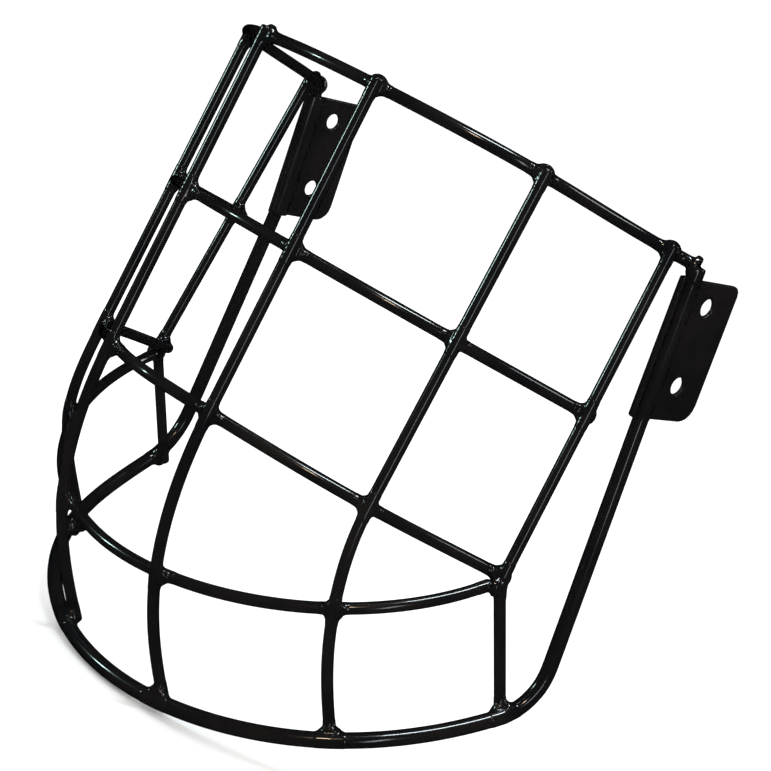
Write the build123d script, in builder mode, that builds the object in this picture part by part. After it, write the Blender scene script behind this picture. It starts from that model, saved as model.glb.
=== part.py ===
"""Wire cage of a goalie mask: bent round bars welded in a grid, two side plates to bolt it to a helmet.

The frame is the cage as it is worn: the face looks along -Y, the wearer's left is +X and up is +Z.
The plates hang upright, and the face of the cage leans with its brow back and its chin forward.
"""
from math import cos, radians, sin, tan
import os

from build123d import *

os.makedirs("parts", exist_ok=True)

# ---- Driving dimensions, in millimetres and degrees ----
bar_radius = 1.95  # thin bars, with their coating
perimeter_radius = 2.6  # thick wire round the edge, with its coating
weld_press = 0.8  # two crossing bars are pressed this far into each other
saddle_length = 14.0  # longer than any saddle in an upright, so the cut runs right through
overhang = 1.9  # bar left past the centre of its last crossing

rake = 14.0  # lean of the face against the upright plates
setback = -1.21  # these two stand the bounding box on the origin, centred
lift = 122.95

brow_level = 75.7  # heights up the face, before the lean
upper_level = 19.7
lower_level = -36.5
upper_slope = -0.9  # slopes are upwards to the back: the crossbars rise a little towards the front
lower_slope = -1.3
jaw_slope = 37.7  # and the jaw and chin hoops dip towards the front
chin_slope = 36.4
crossbar_back = 20.0  # how far back the crossbars reach their levels
jaw_back = (21.5, -39.6)  # a point (back, up) on the jaw hoop's plane
chin_back = (47.9, -79.2)  # the same on the chin hoop's plane

# Half plans of the hoops, (across, back): front, inner, middle and outer upright
brow_plan = [(0, -62.1), (27.2, -57.7), (72.8, -25.9), (89.7, 22.9)]
upper_plan = [(0, -60.5), (28.1, -55.0), (72.8, -23.9), (91.3, 22.2)]
lower_plan = [(0, -61.0), (26.8, -53.1), (72.3, -22.1), (93.3, 23.2)]
jaw_plan = [(0, -42.8), (26.9, -39.6), (74.5, -15.3), (94.1, 20.4)]
chin_plan = [(0, -19.5), (27.7, -16.4), (77.6, 9.5), (101.3, 52.0)]
brow_end = (95.1, 28.8)  # the brow bar stops against the perimeter wire

leg_across = 97.3  # centre of the perimeter wire beside a plate
leg_back = 36.7
leg_height = 48.5
leg_foot = 26.2
leg_top = 75.2
corner_point = (103.9, 59.4, -70.2)  # where the lower leg and the chin hoop would meet
corner_radius = 21.5
corner_lead = 4.4  # its bend starts this far before the outer uprights
corner_guide = 2.5  # a guide point further back keeps the chin hoop in line with the bend
elbow_radius = 5.0  # bend of an outer upright
elbow_drop = 2.0  # and how far below the lower crossbar it starts
jaw_leans = (24, 22)  # lean back of an inner and a middle upright at the jaw bar
chin_leans = (45, 42)  # and at the chin hoop

plate_gap = 0.15  # between the wire and the plate rolled round it
plate_thickness = 1.5
plate_height = 46.6
plate_reach = 24.6  # from the wire's centre to the rear edge
plate_base = 15.4  # height of the lower edge
hole_radius = 2.9
hole_spacing = 26.5
hole_back = 12.0
hole_low = 11.8  # lower hole above the lower edge
upper_corner = 3.0
lower_corner = 6.0
hollow_radius = 2.5  # between the rolled edge and the flat of a plate

seam_rear = 4.6  # the bead between a plate and the wire ends here, behind the wire's centre
seam_tip = (2.2, 1.6)  # and meets the wire's surface about here, (outwards, back)

bead_radius = 2.9  # a weld between two bars
weld_clear = 0.05  # gap left between a bar and the upright or weld shaped round it

cage = Plane(
    origin=(0, setback, lift),
    x_dir=(1, 0, 0),
    z_dir=(0, sin(radians(rake)), cos(radians(rake))),
)


def flat(level):
    """Height of a level hoop, the same all the way round."""
    return lambda back: level


def sloping(point, slope):
    """Height of a hoop whose plane slopes upwards to the back, through a point (back, up)."""
    return lambda back: point[1] + (back - point[0]) * tan(radians(slope))


def half_hoop(plan, height):
    """Half a hoop in space, from the front to the wearer's left."""
    return [cage.from_local_coords(Vector(x, y, height(y))) for x, y in plan]


def across(points):
    """The same points on the wearer's right."""
    return [Vector(-p.X, p.Y, p.Z) for p in points]


def hoop_path(half):
    """A whole hoop through its half and the mirrored half."""
    with BuildLine() as line:
        Spline(*across(half[:0:-1]), *half)
    return line.edges()[0]


def rod(path, radius):
    """A round bar along a path."""
    with BuildPart() as bar:
        with BuildSketch(Plane(origin=path @ 0, z_dir=path % 0)):
            Circle(radius)
        sweep(path=path)
    return bar.part


def run_on(half):
    """Lengthen half a hoop past its outer upright."""
    step = (half[-1] - half[-2]).normalized() * overhang
    return half + [half[-1] + step]


def mirrored(part):
    """The same piece on the wearer's right."""
    with BuildPart() as other:
        add(part)
        mirror(about=Plane.YZ, mode=Mode.REPLACE)
    return other.part


pieces = {}

# ---- Brow bar, crossbars and jaw bar ----
brow = half_hoop(brow_plan, flat(brow_level))
upper = half_hoop(upper_plan, sloping((crossbar_back, upper_level), upper_slope))
lower = half_hoop(lower_plan, sloping((crossbar_back, lower_level), lower_slope))
jaw = half_hoop(jaw_plan, sloping(jaw_back, jaw_slope))
chin = half_hoop(chin_plan, sloping(chin_back, chin_slope))

hoops = {
    "brow_bar": hoop_path(brow + [cage.from_local_coords(Vector(*brow_end, brow_level))]),
    "upper_crossbar": hoop_path(run_on(upper)),
    "lower_crossbar": hoop_path(run_on(lower)),
    "jaw_bar": hoop_path(jaw),
}
for name, path in hoops.items():
    pieces[name] = rod(path, bar_radius)

# ---- Perimeter wire: chin hoop, two corners, and a leg beside each plate ----


def leg(height):
    """Centre of the perimeter wire beside a plate, at a height up the face."""
    back = leg_back + (leg_height - height) * tan(radians(rake))
    return cage.from_local_coords(Vector(leg_across, back, height))


corner = cage.from_local_coords(Vector(*corner_point))
into_corner = (corner - chin[-1]).normalized()
leg_start = chin[-1] - into_corner * corner_lead
with BuildLine() as leg_line:
    FilletPolyline(leg_start, corner, leg(leg_foot), leg(leg_top), radius=corner_radius)
chin_path = hoop_path(chin[:-1] + [leg_start - into_corner * corner_guide, leg_start])
left_leg = rod(leg_line.wires()[0], perimeter_radius)
pieces["perimeter_wire"] = Compound([rod(chin_path, perimeter_radius), left_leg, mirrored(left_leg)])

# ---- Uprights: outside the four hoops, inside the perimeter wire at the chin ----
bar_space = 2 * bar_radius - weld_press
chin_space = bar_radius + perimeter_radius - weld_press


def beside(path, crossing, run, space):
    """Centre of an upright that runs past a hoop's crossing, outside it (inside if space is negative)."""
    out = path.tangent_at(crossing).cross(run).normalized()
    return crossing + out * space


def join(upright, hoop, on_hoop, on_upright, run, along=None):
    """Note a weld between a hoop and an upright pressed against it."""
    path = chin_path if hoop == "perimeter_wire" else hoops[hoop]
    hoop_radius = perimeter_radius if hoop == "perimeter_wire" else bar_radius
    along = along or path.tangent_at(on_hoop)
    welds[hoop].append((upright, (on_hoop, along, hoop_radius), (on_upright, run, bar_radius)))


def pressed(upright, bar):
    """Cut the saddles in an upright where it is pressed against the hoops."""
    with BuildPart() as cut:
        add(bar)
        for beads in welds.values():
            for owner, (centre, along, radius), _ in beads:
                if owner == upright:
                    with Locations(Plane(origin=centre, z_dir=along)):
                        Cylinder(radius + weld_clear, saddle_length, mode=Mode.SUBTRACT)
    return cut.part


up_face = cage.z_dir
welds = {name: [] for name in (*hoops, "perimeter_wire")}
for number, name in enumerate(("inner", "middle"), start=1):
    jaw_run = up_face.rotate(Axis.X, jaw_leans[number - 1])
    chin_run = up_face.rotate(Axis.X, chin_leans[number - 1])
    top = beside(hoops["brow_bar"], brow[number], up_face, bar_space)
    high = beside(hoops["upper_crossbar"], upper[number], up_face, bar_space)
    low = beside(hoops["lower_crossbar"], lower[number], up_face, bar_space)
    at_jaw = beside(hoops["jaw_bar"], jaw[number], jaw_run, bar_space)
    at_chin = beside(chin_path, chin[number], chin_run, -chin_space)
    down = (low - top).normalized()
    with BuildLine() as upright:
        Line(top - down * overhang, low)
        Spline(low, at_jaw, at_chin - chin_run * overhang, tangents=(down, -chin_run))
    join(name, "brow_bar", brow[number], top, up_face)
    join(name, "upper_crossbar", upper[number], high, up_face)
    join(name, "lower_crossbar", lower[number], low, up_face)
    join(name, "jaw_bar", jaw[number], at_jaw, jaw_run)
    join(name, "perimeter_wire", chin[number], at_chin, chin_run)
    pieces[f"left_{name}_upright"] = pressed(name, rod(upright.wires()[0], bar_radius))

top = beside(hoops["brow_bar"], brow[3], up_face, bar_space)
low = beside(hoops["lower_crossbar"], lower[3], up_face, bar_space)
high = beside(hoops["upper_crossbar"], upper[3], up_face, bar_space)
down = (low - top).normalized()
elbow = low + down * elbow_drop
at_chin = chin[3] + Vector(-chin_space, 0, 0)
lower_run = (at_chin - elbow).normalized()
with BuildLine() as upright:
    FilletPolyline(top - down * overhang, elbow, at_chin + lower_run * overhang, radius=elbow_radius)
join("outer", "brow_bar", brow[3], top, down)
join("outer", "upper_crossbar", upper[3], high, down)
join("outer", "lower_crossbar", lower[3], low, down)
join("outer", "jaw_bar", jaw[3], jaw[3] + Vector(bar_space, 0, 0), lower_run)
join("outer", "perimeter_wire", chin[3], at_chin, lower_run, into_corner)
pieces["left_outer_upright"] = pressed("outer", rod(upright.wires()[0], bar_radius))
for name in ("inner", "middle", "outer"):
    pieces[f"right_{name}_upright"] = mirrored(pieces[f"left_{name}_upright"])

# ---- Side plates: a flat strap whose front edge is rolled round the inside of the wire ----
wire = leg(leg_height)
roll_inner = perimeter_radius + plate_gap
roll_outer = roll_inner + plate_thickness
strap_length = plate_reach - roll_inner
plate_sketch_plane = Plane(origin=(wire.X, wire.Y, plate_base + lift), z_dir=(0, 0, 1))
with BuildPart() as plate:
    with BuildSketch(plate_sketch_plane):
        Circle(roll_outer)
        with Locations((-plate_thickness / 2, roll_inner + strap_length / 2)):
            Rectangle(plate_thickness, strap_length)
        Circle(roll_inner, mode=Mode.SUBTRACT)
        with Locations((roll_outer, 0)):
            Rectangle(2 * roll_outer, 3 * roll_outer, mode=Mode.SUBTRACT)
    extrude(amount=plate_height)
    rear_edges = plate.edges().filter_by(Axis.X).group_by(Axis.Y)[-1].sort_by(Axis.Z)
    fillet(rear_edges[0], lower_corner)
    rear_edges = plate.edges().filter_by(Axis.X).group_by(Axis.Y)[-1].sort_by(Axis.Z)
    fillet(rear_edges[-1], upper_corner)
    hollow = plate.edges().filter_by(Axis.Z).sort_by_distance(wire + Vector(-plate_thickness, roll_outer, 0))
    fillet(hollow[0], hollow_radius)
    side_face = Plane(
        origin=(wire.X, wire.Y + hole_back, plate_base + lift + hole_low),
        x_dir=(0, 1, 0),
        z_dir=(1, 0, 0),
    )
    with Locations(side_face):
        with Locations((0, 0), (0, hole_spacing)):
            Hole(hole_radius)
pieces["left_side_plate"] = plate.part
pieces["right_side_plate"] = mirrored(plate.part)

# ---- Seam: the bead between a plate's outer face and the wire ----
with BuildPart() as seam:
    with BuildSketch(plate_sketch_plane):
        with BuildLine():
            Polyline((0, perimeter_radius), (0, seam_rear), seam_tip, close=True)
        make_face()
        Circle(perimeter_radius, mode=Mode.SUBTRACT)
    extrude(amount=plate_height)
pieces["left_plate_seam"] = seam.part
pieces["right_plate_seam"] = mirrored(seam.part)

# ---- Welds: the corners between the bars at every crossing, grouped by hoop ----


def bead(bars):
    """A plug between two bars, cut clear of both: bars are (centre, direction, radius)."""
    start, end = bars[0][0], bars[1][0]
    with BuildPart() as weld:
        with Locations(Plane(origin=(start + end) / 2, z_dir=end - start)):
            Cylinder(bead_radius, (end - start).length)
        for centre, direction, radius in bars:
            with Locations(Plane(origin=centre, z_dir=direction)):
                Cylinder(radius + weld_clear, 4 * bead_radius, mode=Mode.SUBTRACT)
    return weld.part.solids()


for hoop, beads in welds.items():
    half_row = [solid for _, *bars in beads for solid in bead(bars)]
    pieces[f"{hoop}_welds"] = Compound([*half_row, *[mirrored(part).solids()[0] for part in half_row]])

for name, piece in pieces.items():
    piece.label = name
    export_step(piece, f"parts/{name}.step")
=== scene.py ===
# %% [markdown]
# # The wire cage of a goalie mask
#
# The real object is a grid of round steel bars, bent, welded and dipped in thick gloss black coating.
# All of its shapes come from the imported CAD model, which is loaded first and never moved. Each bar, weld
# and plate is then given a finished skin of its own, because a dipped coating rounds every edge and
# fills every corner, which is what catches the light.

from math import radians

import bmesh
import bpy
import numpy as np
from mathutils import Matrix, Vector


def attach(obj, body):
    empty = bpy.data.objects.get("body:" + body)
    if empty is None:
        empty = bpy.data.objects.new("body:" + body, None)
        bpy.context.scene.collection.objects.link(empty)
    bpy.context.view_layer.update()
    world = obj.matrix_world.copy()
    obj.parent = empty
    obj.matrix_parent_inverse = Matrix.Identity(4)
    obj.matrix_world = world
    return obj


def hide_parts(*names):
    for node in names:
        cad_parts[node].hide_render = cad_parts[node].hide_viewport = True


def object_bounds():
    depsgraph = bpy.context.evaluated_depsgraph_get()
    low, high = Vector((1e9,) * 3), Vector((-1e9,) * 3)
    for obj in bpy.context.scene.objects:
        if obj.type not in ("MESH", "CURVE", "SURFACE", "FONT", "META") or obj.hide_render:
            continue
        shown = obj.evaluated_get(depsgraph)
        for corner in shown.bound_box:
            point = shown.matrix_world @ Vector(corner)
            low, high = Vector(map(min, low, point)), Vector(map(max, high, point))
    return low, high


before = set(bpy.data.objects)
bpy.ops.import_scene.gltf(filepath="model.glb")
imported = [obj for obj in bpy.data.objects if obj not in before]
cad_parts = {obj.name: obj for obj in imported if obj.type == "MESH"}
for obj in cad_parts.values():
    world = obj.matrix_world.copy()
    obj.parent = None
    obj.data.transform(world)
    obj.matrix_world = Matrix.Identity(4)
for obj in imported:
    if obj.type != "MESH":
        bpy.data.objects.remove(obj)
cad_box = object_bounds()
print("CAD box", [round(v, 4) for corner in cad_box for v in corner])

# %% [markdown]
# ## Names and sizes
#
# A thin bar is 3.9 mm across and the perimeter wire 5.2 mm. Everything in Blender is in metres, so a
# millimetre is written once and multiplied.

# %% Sizes
mm = 0.001
bar_radius = 1.95 * mm
perimeter_radius = 2.6 * mm
hoops = ["brow_bar", "upper_crossbar", "lower_crossbar", "jaw_bar"]
places = ("inner", "middle", "outer")
uprights = [f"{side}_{place}_upright" for side in ("left", "right") for place in places]
radius_of = {name: bar_radius for name in hoops + uprights}
radius_of["perimeter_wire"] = perimeter_radius

# %% [markdown]
# ## Find the middle line of each bar
#
# A CAD bar is a skin of loose triangles. To give it a smooth skin again we need the line down its
# middle. We start at the centre of one cut end, step a millimetre into the bar, slice the skin with a
# plane across the step, and fit a circle to the slice: its centre is the next point of the line. This
# reads the true place of every bar from the frame, so no coordinates are typed in.

# %% Middle line of a bar
march = 1.0 * mm
joined = 0.001 * mm  # corners nearer than this are one corner
rim_angle = radians(60)
ring_reach = 2.3  # a cut end's rim lies within this many radii of its highest corner
slice_reach = 2.0  # a slice's points lie within this many radii of the middle
start_bias = np.array([0.01, 0, 1])  # start at the highest end, or the left one of two as high
fewest_points = 8  # a slice with no more points than this is past the bar's end


def unit(v):
    """The same direction, one long."""
    return v / np.linalg.norm(v)


def circle_centre(points, near):
    """Centre of the circle through points that lie in one plane."""
    flat = points - near
    rows = np.c_[2 * flat, np.ones(len(flat))]
    return near + np.linalg.lstsq(rows, (flat**2).sum(axis=1), rcond=None)[0][:3]


def skin_of(node):
    """Corners, edges and cut-end corners of a CAD node, with its loose triangles joined."""
    bm = bmesh.new()
    bm.from_mesh(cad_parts[node].data)
    bmesh.ops.remove_doubles(bm, verts=bm.verts, dist=joined)
    bm.verts.index_update()
    places = np.array([v.co for v in bm.verts])
    edges = np.array([[v.index for v in e.verts] for e in bm.edges])
    sharp = np.array([v.index for v in bm.verts if any(is_rim(e) for e in v.link_edges)])
    bm.free()
    return places, edges, places[sharp]


def is_rim(edge):
    """True on the sharp edge round a cut end."""
    return len(edge.link_faces) == 2 and edge.calc_face_angle() > rim_angle


def slice_centre(starts, ends, at, along, radius):
    """Centre of the bar where the plane through a point, square to along, cuts it; None past its end."""
    before = (starts - at) @ along
    after = (ends - at) @ along
    cut = before * after < 0
    share = (before[cut] / (before[cut] - after[cut]))[:, None]
    points = starts[cut] + (ends[cut] - starts[cut]) * share
    points = points[np.linalg.norm(points - at, axis=1) < slice_reach * radius]
    return circle_centre(points, at) if len(points) > fewest_points else None


def middle_line(node):
    """Points down the middle of a bar, from its highest end to its other end."""
    radius = radius_of[node]
    places, edges, rim = skin_of(node)
    starts, ends = places[edges[:, 0]], places[edges[:, 1]]
    top = rim[np.argmax(rim @ start_bias)]
    ring = rim[np.linalg.norm(rim - top, axis=1) < ring_reach * radius]
    centre = ring.mean(axis=0)
    along = np.linalg.svd(ring - centre)[2][2]
    if slice_centre(starts, ends, centre + along * march, along, radius) is None:
        along = -along
    line = [centre]
    while True:
        found = slice_centre(starts, ends, line[-1] + along * march, along, radius)
        if found is None:
            break
        along = unit(found - line[-1])
        line.append(found)
    near_end = places[np.linalg.norm(places - line[-1], axis=1) < slice_reach * radius]
    line.append(line[-1] + along * ((near_end - line[-1]) @ along).max())
    return np.array(line)


lines = {name: middle_line(name) for name in radius_of}
for name, line in lines.items():
    length = np.linalg.norm(np.diff(line, axis=0), axis=1).sum()
    print(f"{name}: {len(line)} points, {length / mm:.1f} mm long")

# %% [markdown]
# ## Shader maths as plain expressions
#
# A small class wraps a socket, so that an expression on values adds its Math nodes, and one method makes
# any other node. A material then reads like a recipe.

# %% Sockets and nodes


class Value:
    """A number on a material's wire: +, - and * on it add Math nodes."""

    def __init__(self, tree, socket):
        self.tree = tree
        self.socket = socket

    def _math(self, operation, first, second):
        """One Math node on two values or numbers."""
        node = self.tree.nodes.new("ShaderNodeMath")
        node.operation = operation
        for slot, value in zip(node.inputs, (first, second)):
            if isinstance(value, Value):
                self.tree.links.new(value.socket, slot)
            else:
                slot.default_value = value
        return Value(self.tree, node.outputs[0])

    def __add__(self, other):
        return self._math("ADD", self, other)

    def __radd__(self, other):
        return self._math("ADD", other, self)

    def __sub__(self, other):
        return self._math("SUBTRACT", self, other)

    def __rsub__(self, other):
        return self._math("SUBTRACT", other, self)

    def __mul__(self, other):
        return self._math("MULTIPLY", self, other)

    def __rmul__(self, other):
        return self._math("MULTIPLY", other, self)


class Recipe:
    """A material under construction."""

    def __init__(self, name):
        self.material = bpy.data.materials.new(name)
        self.material.use_nodes = True
        self.tree = self.material.node_tree
        self.tree.nodes.clear()

    def node(self, kind, output=0, settings=None, **sockets):
        """Make one node: its settings first, then a value or a link for each named socket."""
        made = self.tree.nodes.new("ShaderNode" + kind)
        for key, value in (settings or {}).items():
            if key == "stops":
                for element, (place, colour) in zip(made.color_ramp.elements, value):
                    element.position = place
                    element.color = (*colour, 1)
            else:
                setattr(made, key, value)
        for key, value in sockets.items():
            socket = made.inputs[key.replace("_", " ")]
            if isinstance(value, Value):
                self.tree.links.new(value.socket, socket)
            else:
                socket.default_value = value
        return Value(self.tree, made.outputs[output]) if len(made.outputs) else None


# %% [markdown]
# ## The gloss black coating
#
# The coating is a thick dipped plastic. It is nearly pure black, so almost all we see is reflection: long
# thin streaks along the bars and small highlights where bars meet. A perfect mirror would look like
# glass, so two sizes of ripple are put in the surface, one like orange peel and one like a slow sag, and
# the gloss itself varies a little. Welds hold more coating and are smoother, and plates show the peel
# more. The black is a little warmer in patches.

# %% Coating materials
coating_black = (0.0035, 0.0036, 0.0042)
coating_warm_black = (0.0075, 0.0062, 0.0058)
object_place = 3  # the Object output of Texture Coordinate
gloss_spread = 0.12
top_gloss = 0.04
plastic_ior = 1.5


def coating(name, peel, sag, gloss):
    """Gloss black dip: peel and sag are ripple heights in millimetres, gloss is the mean roughness."""
    recipe = Recipe(name)
    place = recipe.node("TexCoord", output=object_place)
    fine = recipe.node("TexNoise", Vector=place, Scale=700.0, Detail=2.0, Roughness=0.5)
    slow = recipe.node("TexNoise", Vector=place, Scale=130.0, Detail=1.0, Roughness=0.4)
    patch = recipe.node("TexNoise", Vector=place, Scale=45.0, Detail=3.0, Roughness=0.6)
    tone = recipe.node(
        "ValToRGB", settings={"stops": [(0.35, coating_black), (0.7, coating_warm_black)]}, Fac=patch
    )
    sagging = recipe.node("Bump", Height=slow, Distance=sag * mm, Strength=1.0)
    rippled = recipe.node("Bump", Height=fine, Distance=peel * mm, Strength=1.0, Normal=sagging)
    recipe.node("OutputMaterial", Surface=recipe.node(
        "BsdfPrincipled",
        Base_Color=tone,
        Roughness=gloss + (patch - 0.5) * gloss_spread,
        IOR=plastic_ior,
        Specular_IOR_Level=0.5,
        Coat_Weight=0.6,
        Coat_Roughness=top_gloss,
        Coat_IOR=plastic_ior,
        Normal=rippled,
    ))
    return recipe.material


coatings = {
    "wire_coating": coating("wire_coating", peel=0.012, sag=0.05, gloss=0.16),
    "weld_coating": coating("weld_coating", peel=0.008, sag=0.04, gloss=0.14),
    "plate_coating": coating("plate_coating", peel=0.018, sag=0.06, gloss=0.2),
}

# %% [markdown]
# ## Put a finished piece in place
#
# Every piece keeps its object at the origin with its place in its mesh, rides on the cage's one body,
# stands for its CAD nodes, and names the coating slot it takes its finish from.

# %% Finish a piece


def finish_piece(name, mesh, slot, *nodes):
    """Show a mesh as the finished skin of one or more CAD nodes."""
    piece = bpy.data.objects.new(name, mesh)
    bpy.context.scene.collection.objects.link(piece)
    mesh.materials.clear()
    mesh.materials.append(coatings[slot])
    for polygon in mesh.polygons:
        polygon.use_smooth = True
    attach(piece, "root")
    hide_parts(*nodes)
    print(f"{name}: {len(mesh.polygons)} faces")


# %% [markdown]
# ## The bars
#
# A bent bar is a circle drawn along a line. We could extrude a bmesh circle step by step, but a curve
# with a round bevel does the same and never twists. Its NURBS spline passes smoothly by every third
# millimetre of the middle line. Near an end its points draw in, which rounds the end as the coating
# does: the tops of the uprights and of the perimeter wire into a full nose, the other ends only at the
# rim. An end shape is a list of distances from the end and widths there, both in radii.

# %% Bars from curves
control_gap = 3
nose = [(1.15, 1.0), (0.75, 1.0), (0.4, 0.92), (0.12, 0.72), (0.0, 0.4), (0.0, 0.0)]
blunt = [(1.2, 1.0), (0.6, 1.0), (0.25, 1.0), (0.06, 0.93), (0.0, 0.78), (0.0, 0.0)]
end_room = 1.3  # no other points this near an end, in radii
end_run = 4  # the end's direction is taken over this many steps
bar_sides = 7
perimeter_sides = 9


def end_points(line, radius, shape):
    """Points and widths that close a bar's start."""
    inward = unit(line[end_run] - line[0])
    return [(line[0] + inward * back * radius, width) for back, width in reversed(shape)]


def draw_bar(line, radius, first_end, last_end, sides=bar_sides):
    """Mesh of a round bar along a middle line, with its two ends shaped."""
    keep = int(end_room * radius / march) + 2
    inner = [(point, 1.0) for point in line[keep:-keep:control_gap]]
    path = end_points(line, radius, first_end) + inner + end_points(line[::-1], radius, last_end)[::-1]
    curve = bpy.data.curves.new("bar_path", "CURVE")
    curve.dimensions = "3D"
    curve.bevel_depth = radius
    curve.bevel_resolution = sides
    curve.twist_mode = "MINIMUM"
    curve.resolution_u = 3
    spline = curve.splines.new("NURBS")
    spline.points.add(len(path) - 1)
    for control, (place, width) in zip(spline.points, path):
        control.co = (*place, 1)
        control.radius = width
    spline.order_u = 4
    spline.use_endpoint_u = True
    holder = bpy.data.objects.new("bar_path", curve)
    mesh = bpy.data.meshes.new_from_object(holder)
    bpy.data.objects.remove(holder)
    bpy.data.curves.remove(curve)
    bm = bmesh.new()
    bm.from_mesh(mesh)
    bmesh.ops.remove_doubles(bm, verts=bm.verts, dist=0.02 * mm)
    holes = [e for e in bm.edges if e.is_boundary]
    bmesh.ops.holes_fill(bm, edges=holes, sides=0)
    bmesh.ops.recalc_face_normals(bm, faces=bm.faces)
    bm.to_mesh(mesh)
    bm.free()
    return mesh


for name in hoops:
    finish_piece(f"{name}_skin", draw_bar(lines[name], bar_radius, blunt, blunt), "wire_coating", name)
for name in uprights:
    finish_piece(f"{name}_skin", draw_bar(lines[name], bar_radius, nose, blunt), "wire_coating", name)
perimeter = draw_bar(lines["perimeter_wire"], perimeter_radius, nose, nose, perimeter_sides)
finish_piece("perimeter_wire_skin", perimeter, "wire_coating", "perimeter_wire")

# %% [markdown]
# ## Find the crossings
#
# Two bars are welded wherever their middle lines pass within a few millimetres of each other. Looking
# for the closest points of a hoop's line and each upright's, on each side of the cage, finds all the
# welds, and also the two places where the brow bar stops against the top of the perimeter wire.

# %% Crossings of the middle lines
weld_reach = 5.0 * mm


def crossings_of(hoop, others):
    """Each weld of a hoop with other bars: the bar's name, and the closest point of each line."""
    found = []
    for name in others:
        for side in (1, -1):
            near = lines[hoop][lines[hoop][:, 0] * side > 0]
            other = lines[name][lines[name][:, 0] * side > 0]
            if len(other) == 0:
                continue
            gaps = np.linalg.norm(near[:, None] - other[None], axis=2)
            first, second = np.unravel_index(gaps.argmin(), gaps.shape)
            if gaps[first, second] < weld_reach:
                found.append((name, near[first], other[second]))
    return found


# %% [markdown]
# ## The webs of coating at the welds
#
# Where two bars meet, the dip leaves a web with hollow sides that flows into both. Such a shape is hard
# to build face by face, but easy to grow: short stubs of the two bars and a thin round cake between
# them are turned into one skin by a voxel remesh. Smoothing that skin hollows the corners of the cake,
# while the stubs draw in to the bars' own surface, so they need to start a little fat.

# %% Grow the webs
stub_reach = 5.6 * mm
stub_swell = 0.16 * mm
stub_overlap = 0.3  # the two halves of a stub run past each other this much, in radii
stub_sides = 40
cake_radius = 3.55 * mm
cake_height = 2.3 * mm
web_voxel = 0.3 * mm
web_rounds = 34


def add_stub(bm, line, centre, radius):
    """Add a short fat stretch of a bar to bm, where it passes the centre of a weld."""
    close = line[np.linalg.norm(line - centre, axis=1) < stub_reach]
    runs = [close[0], close[len(close) // 2], close[-1]]
    for start, end in zip(runs, runs[1:]):
        add_cylinder(bm, start, end, radius + stub_swell, stub_overlap * radius)


def add_cylinder(bm, start, end, radius, extra=0.0):
    """Add a closed cylinder between two points, a little longer than they are apart."""
    axis = Vector(end - start)
    turn = axis.to_track_quat("Z", "Y").to_matrix().to_4x4()
    bmesh.ops.create_cone(
        bm,
        cap_ends=True,
        segments=stub_sides,
        radius1=radius,
        radius2=radius,
        depth=axis.length + extra,
        matrix=Matrix.Translation(Vector((start + end) / 2)) @ turn,
    )


def grown_skin(bm, voxel, rounds):
    """One smooth skin over everything in bm, as a dipped coating would lie."""
    mesh = bpy.data.meshes.new("dip")
    bm.to_mesh(mesh)
    bm.free()
    holder = bpy.data.objects.new("dip", mesh)
    bpy.context.scene.collection.objects.link(holder)
    remesh = holder.modifiers.new("remesh", "REMESH")
    remesh.mode = "VOXEL"
    remesh.voxel_size = voxel
    relax = holder.modifiers.new("relax", "SMOOTH")
    relax.factor = 0.5
    relax.iterations = rounds
    dipped = holder.evaluated_get(bpy.context.evaluated_depsgraph_get())
    skin = bpy.data.meshes.new_from_object(dipped)
    bpy.data.objects.remove(holder)
    bpy.data.meshes.remove(mesh)
    return skin


for hoop in hoops + ["perimeter_wire"]:
    stubs = bmesh.new()
    ends_on = ["perimeter_wire"] if hoop == "brow_bar" else []
    welds = crossings_of(hoop, uprights + ends_on)
    for name, on_hoop, on_other in welds:
        middle = (on_hoop + on_other) / 2
        add_stub(stubs, lines[hoop], on_hoop, radius_of[hoop])
        add_stub(stubs, lines[name], on_other, radius_of[name])
        half_cake = unit(on_other - on_hoop) * cake_height / 2
        spread = cake_radius + radius_of[hoop] - bar_radius
        add_cylinder(stubs, middle - half_cake, middle + half_cake, spread)
    print(f"{hoop}: {len(welds)} welds")
    webs = grown_skin(stubs, web_voxel, web_rounds)
    finish_piece(f"{hoop}_webs", webs, "weld_coating", f"{hoop}_welds")

# %% [markdown]
# ## The side plates
#
# Each plate is a flat strap whose front edge is rolled round the wire. The CAD shape is right but its
# edges are knife sharp. We could bevel them one by one, but the same dip rounds them all at once, and
# the rims of the holes with them. The bead in the seam between plate and wire is dipped the same way.

# %% Dip the plates and their seams
plate_voxel = 0.34 * mm
plate_rounds = 5
seam_rounds = 3


def skin_copy(node):
    """The joined triangles of a CAD node in a new bmesh."""
    bm = bmesh.new()
    bm.from_mesh(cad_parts[node].data)
    bmesh.ops.remove_doubles(bm, verts=bm.verts, dist=joined)
    return bm


for side in ("left", "right"):
    plate = grown_skin(skin_copy(f"{side}_side_plate"), plate_voxel, plate_rounds)
    finish_piece(f"{side}_plate_skin", plate, "plate_coating", f"{side}_side_plate")
    seam = grown_skin(skin_copy(f"{side}_plate_seam"), plate_voxel, seam_rounds)
    finish_piece(f"{side}_seam_skin", seam, "weld_coating", f"{side}_plate_seam")

# %% [markdown]
# ## Floor and light
#
# The cage stands on a plain pale floor under an even white sky, both too bright to show a horizon. Black
# gloss shows only what it reflects, so a white room would turn it grey. Floor and sky are therefore kept
# out of its reflections, and the lamps alone decide its look: strips draw streaks along the bars, and
# small boxes leave short highlights, cool on the uprights and warm on the front of the hoops.

# %% Floor
floor_size = 60
floor_drop = 0.3 * mm

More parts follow.
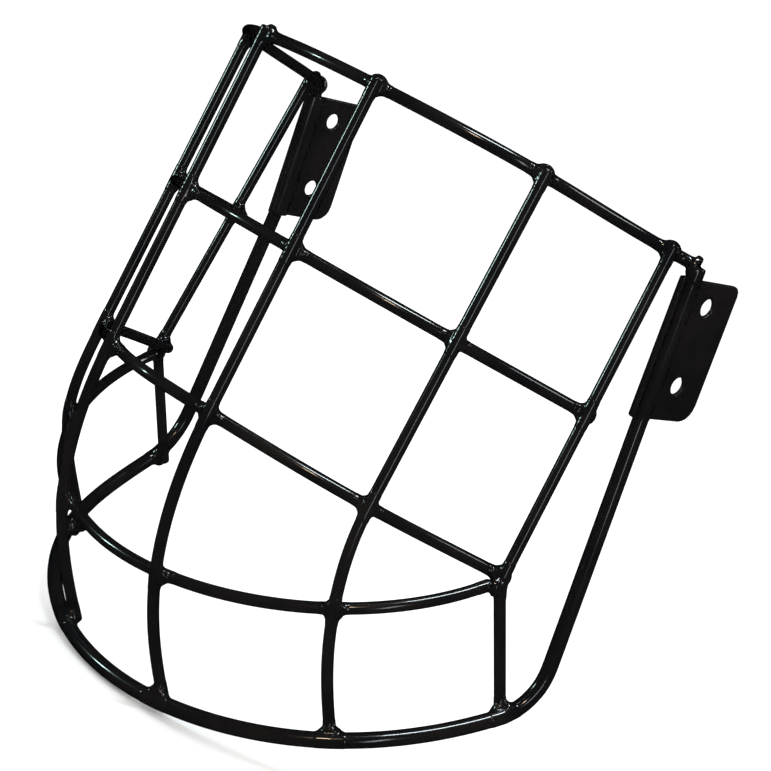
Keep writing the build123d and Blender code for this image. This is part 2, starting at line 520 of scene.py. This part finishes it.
bpy.ops.mesh.primitive_plane_add(size=floor_size)
floor = bpy.context.object
floor.name = "floor"
floor.location.z = -floor_drop
pale = bpy.data.materials.new("pale_floor")
pale.use_nodes = True
matt = pale.node_tree.nodes["Principled BSDF"].inputs
matt["Base Color"].default_value = (0.9, 0.9, 0.9, 1)
matt["Roughness"].default_value = 0.9
floor.data.materials.append(pale)
floor.visible_glossy = False
print("floor", floor_size, "m across")

# %% World
sky_strength = 1.3

bpy.context.scene.view_settings.view_transform = "Standard"
world = bpy.data.worlds.new("studio")
bpy.context.scene.world = world
world.use_nodes = True
sky = world.node_tree.nodes["Background"].inputs
sky["Color"].default_value = (1, 1, 1, 1)
sky["Strength"].default_value = sky_strength
world.cycles_visibility.glossy = False
print("sky strength", sky_strength)

# %% Lamps
centre = sum(cad_box, Vector()) / 2
cool = (0.86, 0.96, 1.0)
warm = (1.0, 0.76, 0.52)
cyan = (0.7, 1.0, 0.97)


def softbox(name, place, size, power, colour):
    """A rectangular lamp, in metres and watts, that faces the middle of the cage."""
    lamp = bpy.data.lights.new(name, "AREA")
    lamp.shape = "RECTANGLE"
    lamp.size, lamp.size_y = size
    lamp.energy = power
    lamp.color = colour
    holder = bpy.data.objects.new(name, lamp)
    bpy.context.scene.collection.objects.link(holder)
    holder.location = place
    holder.rotation_euler = (centre - Vector(place)).to_track_quat("-Z", "Y").to_euler()
    print(f"{name}: {power} W")


softbox("overhead", (0.3, -0.1, 1.3), (0.5, 0.12), 7, cool)
softbox("shoulder", (1.15, -0.55, 0.26), (0.1, 0.5), 0.8, cool)
softbox("front_warm", (0.61, -0.88, 0.88), (0.12, 0.12), 1.6, warm)
softbox("side_strip", (0.9, 0.9, 0.9), (0.12, 0.6), 2.2, cool)
softbox("far_side", (-0.55, -0.6, 0.3), (0.08, 0.12), 0.9, cyan)

# %% [markdown]
# ## Camera
#
# A long lens looks from in front of the wearer's left shoulder, a little above the brow, and is tipped to
# one side, so that the cage leans in the view. A camera looks along its own -Z, so its axes are right, up
# and back.

# %% Camera
camera_place = Vector((0.48338, -0.45946, 0.27286))
camera_right = Vector((0.62104, 0.71631, 0.31812))
camera_down = Vector((0.38770, 0.07200, -0.91897))
lens = 96.6

camera = bpy.data.objects.new("camera", bpy.data.cameras.new("camera"))
bpy.context.scene.collection.objects.link(camera)
bpy.context.scene.camera = camera
backwards = camera_right.cross(-camera_down)
camera.matrix_world = Matrix.Translation(camera_place) @ Matrix(
    (camera_right, -camera_down, backwards)
).transposed().to_4x4()
camera.data.lens = lens
camera.data.clip_start = 0.01
camera.data.clip_end = 50
print("camera", lens, "mm lens")
